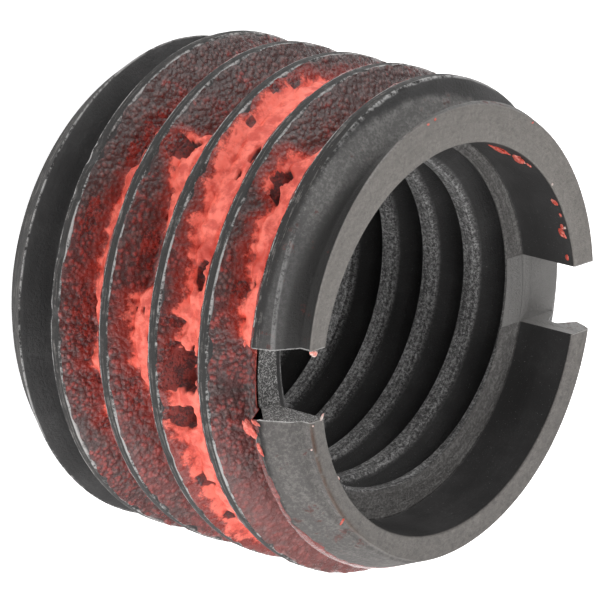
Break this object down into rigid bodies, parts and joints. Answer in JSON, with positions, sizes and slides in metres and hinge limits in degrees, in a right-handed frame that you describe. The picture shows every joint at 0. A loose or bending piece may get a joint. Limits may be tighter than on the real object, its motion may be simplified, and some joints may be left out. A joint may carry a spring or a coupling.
{
  "type": "threaded insert",
  "caption": "Steel thread insert with a coarse thread outside and inside, a counterbored end with a drive slot, and hardened red locking compound in the outer thread.",
  "frame": {"origin": "centre of the plain end face, on the bore axis; the insert stands on this end", "axes": "+Z along the bore axis towards the slotted end, the drive slot along X"},
  "size_m": [0.0238, 0.0238, 0.018],
  "materials": {
    "black_oxide_steel": "black oxide, dull, with bare grey crests",
    "red_compound": "hardened red compound, matt, flaked"
  },
  "bodies": {
    "root": {"insert_body": "black_oxide_steel", "locking_compound": "red_compound"}
  },
  "joints": []
}
